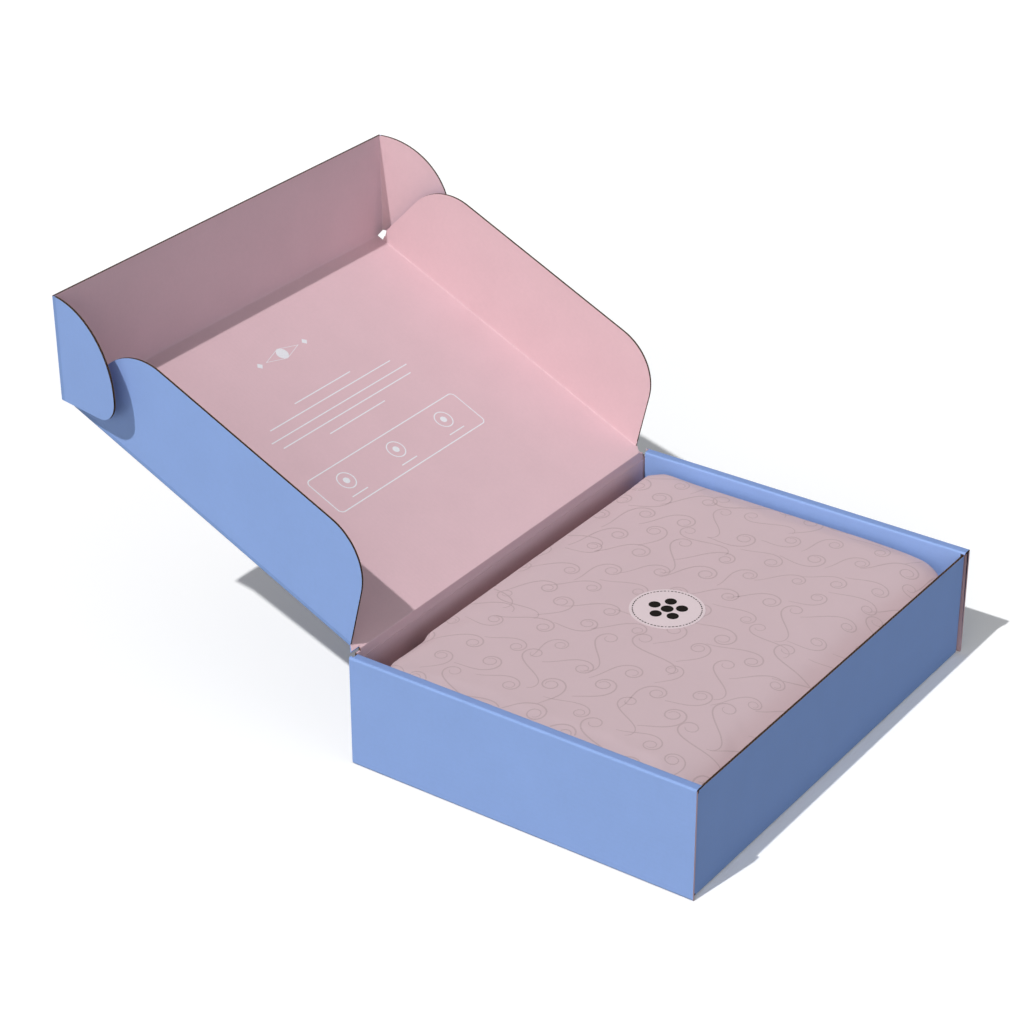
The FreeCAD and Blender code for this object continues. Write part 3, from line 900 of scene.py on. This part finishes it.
def press_parcel():
    """Keep the pack between the walls, let its top slope to the front, and press in the tuck."""
    for vert in parcel.data.vertices:
        for sign in SIDES.values():
            fill_out(vert.co, (0, 1), (sign * CORNER_X, CORNER_Y))
            fill_out(vert.co, (0, 2), (sign * SHOULDER_X, SHOULDER_Z))
        fill_out(vert.co, (1, 2), (SHOULDER_Y, SHOULDER_Z))
        height = (vert.co.z / PARCEL_HIGH.z) ** 2
        side = 1 / (1 + math.exp(min((vert.co.x - TUCK_START) / TUCK_SOFT, 50)))
        edge = math.exp(-((vert.co.y - PARCEL_HIGH.y) / TUCK_REACH) ** 2)
        vert.co += TUCK_DROP * side * edge * height
        share = max(SLOPE_START - vert.co.y, 0.0) / SLOPE_LENGTH
        vert.co.z -= SLOPE_DROP * share ** 2.5 * height
        for axis in range(3):
            vert.co[axis] = min(max(vert.co[axis], PARCEL_LOW[axis] + ROOM), PARCEL_HIGH[axis] - ROOM)


press_parcel()
smooth = parcel.modifiers.new("round", "SUBSURF")
smooth.levels = 1
smooth.render_levels = 1
apply_modifiers(parcel)
for polygon in parcel.data.polygons:
    polygon.use_smooth = True
print("parcel has", len(parcel.data.polygons), "faces")

# %% Give the parcel its tissue
TISSUE = (0.555, 0.425, 0.452)
tissue = paper_material("tissue", TISSUE, unevenness=0.05, washboard=0.0, roughness=0.7, grain=0.05 * MM)
parcel.data.materials.append(tissue)
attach(parcel, "tray")
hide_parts("wrapped_parcel")
surface = BVHTree.FromObject(parcel, bpy.context.evaluated_depsgraph_get())
print("tissue parcel dressed")


def top_of_parcel(x, y):
    """The height of the parcel's upper side above a point."""
    hit = surface.ray_cast(Vector((x, y, 0.2)), Vector((0, 0, -1)))[0]
    return hit.z if hit else None


# %% [markdown]
# ### Curls on the tissue
#
# The tissue is printed with loose pen curls, a tone darker than the paper. One curl is drawn as a
# short edge that is pulled forward and turned a little at each step, like a flat nib. A few
# such curls are scattered in rows, each turned and scaled a bit, and laid down on the parcel.

# %% Draw the pen curls
NIB = 0.85 * MM


def pen_curl(stages):
    """A ribbon drawn by a nib that presses hardest halfway.

    A stage is steps, step length, first turn and last turn in degrees.
    """
    shape = bmesh.new()
    ends = [shape.verts.new((0, side * NIB / 2, 0)) for side in (-1, 1)]
    edge = shape.edges.new(ends)
    rungs = [ends]
    heading = 0.0
    for steps, length, first_turn, last_turn in stages:
        for step in range(steps):
            drawn = bmesh.ops.extrude_edge_only(shape, edges=[edge])["geom"]
            edge = [part for part in drawn if isinstance(part, bmesh.types.BMEdge)][0]
            ends = list(edge.verts)
            share = step / max(steps - 1, 1)
            turn = math.radians(first_turn + (last_turn - first_turn) * share)
            heading += turn
            middle = (ends[0].co + ends[1].co) / 2
            bmesh.ops.rotate(shape, verts=ends, cent=middle, matrix=Matrix.Rotation(turn, 3, "Z"))
            forward = Vector((math.cos(heading), math.sin(heading), 0))
            bmesh.ops.translate(shape, verts=ends, vec=forward * length)
            rungs.append(ends)
    for count, ends in enumerate(rungs):
        swell = 0.35 + 0.65 * math.sin(math.pi * (count + 0.5) / len(rungs)) ** 0.6
        middle = (ends[0].co + ends[1].co) / 2
        bmesh.ops.translate(shape, verts=ends, vec=-middle)
        bmesh.ops.scale(shape, verts=ends, vec=(swell, swell, 1))
        bmesh.ops.translate(shape, verts=ends, vec=middle)
    points = [vert.co for vert in shape.verts]
    centre = sum(points, Vector()) / len(points)
    bmesh.ops.translate(shape, verts=shape.verts, vec=-centre)
    mesh = bpy.data.meshes.new("curl")
    shape.to_mesh(mesh)
    shape.free()
    return mesh


CURLS = [
    pen_curl([(6, 2.0 * MM, -4, 4), (26, 1.9 * MM, 6, 38)]),
    pen_curl([(9, 2.0 * MM, 8, -4), (25, 1.9 * MM, -7, -38)]),
    pen_curl([(8, 1.8 * MM, 26, 8), (10, 2.1 * MM, 4, -4), (18, 1.8 * MM, -8, -36)]),
    pen_curl([(12, 2.2 * MM, 7, -7), (22, 1.8 * MM, -10, -40)]),
]
print("curl ribbons:", [len(curl.polygons) for curl in CURLS])

# %% Scatter the curls over the parcel
CURL_GAP = Vector((27 * MM, 25 * MM))
CURL_COLUMNS = 12
CURL_ROWS = 10
INK_LIFT = 0.05 * MM
LOWEST_CURL = 52 * MM


def scatter_curls():
    dice = random.Random(7)
    sheet = bmesh.new()
    for row in range(CURL_ROWS):
        for column in range(CURL_COLUMNS):
            curl = CURLS[dice.randrange(len(CURLS))]
            shift_x = (column - (CURL_COLUMNS - 1) / 2 + 0.5 * (row % 2) - 0.25) * CURL_GAP.x
            shift_y = (row - (CURL_ROWS - 1) / 2) * CURL_GAP.y - 4 * MM
            jitter = Vector((dice.uniform(-3, 3), dice.uniform(-2, 2))) * MM
            turn = Matrix.Rotation(math.radians(dice.uniform(-105, -15)), 4, "Z")
            size = Matrix.Scale(dice.uniform(0.95, 1.3), 4)
            place = Matrix.Translation((shift_x + jitter.x, shift_y + jitter.y, 0))
            already = len(sheet.verts)
            sheet.from_mesh(curl)
            sheet.verts.ensure_lookup_table()
            bmesh.ops.transform(sheet, matrix=place @ turn @ size, verts=sheet.verts[already:])
    lay_on_parcel(sheet)
    return sheet


def lay_on_parcel(sheet):
    """Drop every point onto the tissue, and drop what would hang over the sides."""
    over = []
    for vert in sheet.verts:
        height = top_of_parcel(vert.co.x, vert.co.y)
        if height is None or height < LOWEST_CURL:
            over.append(vert)
        else:
            vert.co.z = height + INK_LIFT
    bmesh.ops.delete(sheet, geom=over, context="VERTS")


TISSUE_INK = (0.455, 0.345, 0.36)
curl_sheet = scatter_curls()
face_up(curl_sheet)
tissue_curls = new_piece("tissue_curls", curl_sheet, ink_material("tissue_ink", TISSUE_INK, 0.6))
thicken(tissue_curls, PRINT_DEPTH)
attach(tissue_curls, "tray")
print("curls on the tissue:", len(tissue_curls.data.polygons), "faces")

# %% [markdown]
# ### The sticker
#
# A round paper seal holds the tissue closed. It follows the crown of the parcel, so it is a disc
# of rings that is dropped onto the tissue. Its print is a plain mark with a dotted border.

# %% Make the sticker
STICKER_CENTRE = Vector((0, 1.6 * MM))
STICKER_RADIUS = 23.75 * MM
STICKER_THICK = 0.2 * MM


def lay_disc(name, shape, lift, thickness, material):
    """Move a flat shape to the sticker's place, drop it on the tissue and thicken it."""
    bmesh.ops.translate(shape, verts=shape.verts, vec=(*STICKER_CENTRE, 0))
    face_up(shape)
    for vert in shape.verts:
        vert.co.z = top_of_parcel(vert.co.x, vert.co.y) + lift
    piece = new_piece(name, shape, material)
    thicken(piece, thickness)
    piece.data.set_sharp_from_angle(angle=math.radians(40))
    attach(piece, "tray")
    print(name, "has", len(piece.data.polygons), "faces")
    return piece


def ringed_disc(radius, rings, segments):
    """A disc with many rings, so that it can bend: a circle's cap, inset again and again."""
    shape = bmesh.new()
    bmesh.ops.create_circle(shape, cap_ends=True, segments=segments, radius=radius)
    for ring in range(rings):
        inner = [item for item in shape.faces if len(item.verts) == segments][0]
        bmesh.ops.inset_region(shape, faces=[inner], thickness=radius / (rings + 1),
                               use_even_offset=True, use_boundary=True)
    return shape


STICKER_PAPER = (0.66, 0.55, 0.575)
sticker_face = paper_material("sticker_face", STICKER_PAPER, unevenness=0.03, washboard=0.0,
                              roughness=0.45, grain=0.01 * MM)
sticker = lay_disc("round_seal", ringed_disc(STICKER_RADIUS, 8, 72), INK_LIFT + STICKER_THICK,
                   STICKER_THICK, sticker_face)
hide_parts("round_sticker")

# %% Print the sticker
DOTS = 60
DOT_RING = 21.6 * MM
PETALS = 5
PETAL_RING = 9.2 * MM


def sticker_print():
    sheet = bmesh.new()
    stamp(sheet, flat_mark(8 * MM, 8 * MM, sides=32), 0, 0)
    for petal in range(PETALS):
        turn = math.radians(360 * petal / PETALS + 90)
        mark = flat_mark(7.6 * MM, 7.6 * MM, sides=28)
        stamp(sheet, mark, math.cos(turn) * PETAL_RING, math.sin(turn) * PETAL_RING)
    for dot in range(DOTS):
        angle = 2 * math.pi * dot / DOTS
        width = 1.5 * MM if dot % 5 else 0.9 * MM
        mark = flat_mark(0.7 * MM, width, turn=math.degrees(angle))
        stamp(sheet, mark, math.cos(angle) * DOT_RING, math.sin(angle) * DOT_RING)
    return sheet


BLACK = (0.008, 0.006, 0.005)
black_ink = ink_material("black_ink", BLACK, 0.7)
black_ink.node_tree.nodes["Principled BSDF"].inputs["Specular IOR Level"].default_value = 0.05
lay_disc("seal_print", sticker_print(), INK_LIFT + STICKER_THICK + 0.06 * MM, 0.03 * MM, black_ink)

# %% [markdown]
# ## Floor, light and camera
#
# The picture has a plain white ground, a crisp key light from high on the left, and soft light
# from the left, the front and the sky. A sun lamp gives parallel light with the same strength on
# every face, which keeps the colours as written. The floor answers the camera with a brighter white
# and a little glow that it does not give back to the box, so that the shaded walls stay deep.

# %% Lay the floor
FLOOR_SEEN = (0.99, 0.99, 0.99, 1)
FLOOR_FOR_BOX = (0.22, 0.22, 0.23, 1)
FLOOR_GLOW = 0.07
FLOOR_DROP = 0.2 * MM


def floor_material():
    material, tree, shader = start_material("pale_floor")
    path = tree.nodes.new("ShaderNodeLightPath")
    colour = mix_colour(tree, path.outputs["Is Camera Ray"], FLOOR_FOR_BOX, FLOOR_SEEN)
    tree.links.new(colour, shader.inputs["Base Color"])
    glow = remap(tree, path.outputs["Is Camera Ray"], 0.0, 1.0, 0.0, FLOOR_GLOW)
    tree.links.new(glow, shader.inputs["Emission Strength"])
    shader.inputs["Emission Color"].default_value = (1, 1, 1, 1)
    shader.inputs["Roughness"].default_value = 0.9
    shader.inputs["Specular IOR Level"].default_value = 0.0
    return material


floor_shape = bmesh.new()
bmesh.ops.create_grid(floor_shape, x_segments=1, y_segments=1, size=8.0)
bmesh.ops.translate(floor_shape, verts=floor_shape.verts, vec=(0, 0, -FLOOR_DROP))
floor_mesh = bpy.data.meshes.new("floor")
floor_shape.to_mesh(floor_mesh)
floor_shape.free()
floor_mesh.materials.append(floor_material())
floor = bpy.data.objects.new("floor", floor_mesh)
bpy.context.scene.collection.objects.link(floor)
print("floor laid")

# %% Hang the lights
KEY_WAY = Vector((-0.568, 0.095, 0.818))
LEFT_WAY = Vector((-1.0, -0.3, 0.06))
FRONT_WAY = Vector((-0.1, -1.0, 0.14))
AMBIENT = 0.235


def sun(name, way, strength, spread, colour=(1, 1, 1)):
    """A sun lamp that shines from a direction. The strength is in shares of full daylight white."""
    lamp = bpy.data.lights.new(name, "SUN")
    lamp.energy = strength * math.pi
    lamp.color = colour
    lamp.angle = math.radians(spread)
    holder = bpy.data.objects.new(name, lamp)
    holder.rotation_mode = "QUATERNION"
    holder.rotation_quaternion = way.to_track_quat("Z", "Y")
    bpy.context.scene.collection.objects.link(holder)


sun("key_light", KEY_WAY, 0.81, 1.0)
sun("left_fill", LEFT_WAY, 0.50, 60.0, (1.0, 0.96, 0.92))
sun("front_fill", FRONT_WAY, 0.23, 50.0, (0.62, 0.80, 1.0))

world = bpy.data.worlds.new("studio")
bpy.context.scene.world = world
world.use_nodes = True
ground = world.node_tree.nodes["Background"]
world_path = world.node_tree.nodes.new("ShaderNodeLightPath")
seen = math_node(world.node_tree, "MAXIMUM", world_path.outputs["Is Camera Ray"],
                 world_path.outputs["Is Transmission Ray"])
seen = math_node(world.node_tree, "MAXIMUM", seen, world_path.outputs["Is Glossy Ray"])
strength = remap(world.node_tree, seen, 0.0, 1.0, AMBIENT, 1.0)
world.node_tree.links.new(strength, ground.inputs["Strength"])
ground.inputs["Color"].default_value = (1, 1, 1, 1)
print("key light, fill and a plain world are in place")

# %% Set the camera
CAMERA_PLACE = Vector((-1.28312, -0.78362, 0.96584))
CAMERA_WAY = Vector((0.716427, 0.503870, -0.482543))
CAMERA_ROLL = math.radians(-0.0948)
SENSOR_WIDTH = 36.0
FOCAL_LENGTH = 99.3

camera_data = bpy.data.cameras.new("camera")
camera_data.sensor_width = SENSOR_WIDTH
camera_data.lens = FOCAL_LENGTH
camera_data.clip_start = 0.05
camera_data.clip_end = 50.0
camera = bpy.data.objects.new("camera", camera_data)
camera.rotation_mode = "QUATERNION"
level_view = CAMERA_WAY.to_track_quat("-Z", "Y")
camera.rotation_quaternion = level_view @ Matrix.Rotation(CAMERA_ROLL, 3, "Z").to_quaternion()
camera.location = CAMERA_PLACE
bpy.context.scene.collection.objects.link(camera)
bpy.context.scene.camera = camera
bpy.context.scene.view_settings.view_transform = "Standard"
print("camera looks along", [round(value, 3) for value in CAMERA_WAY])
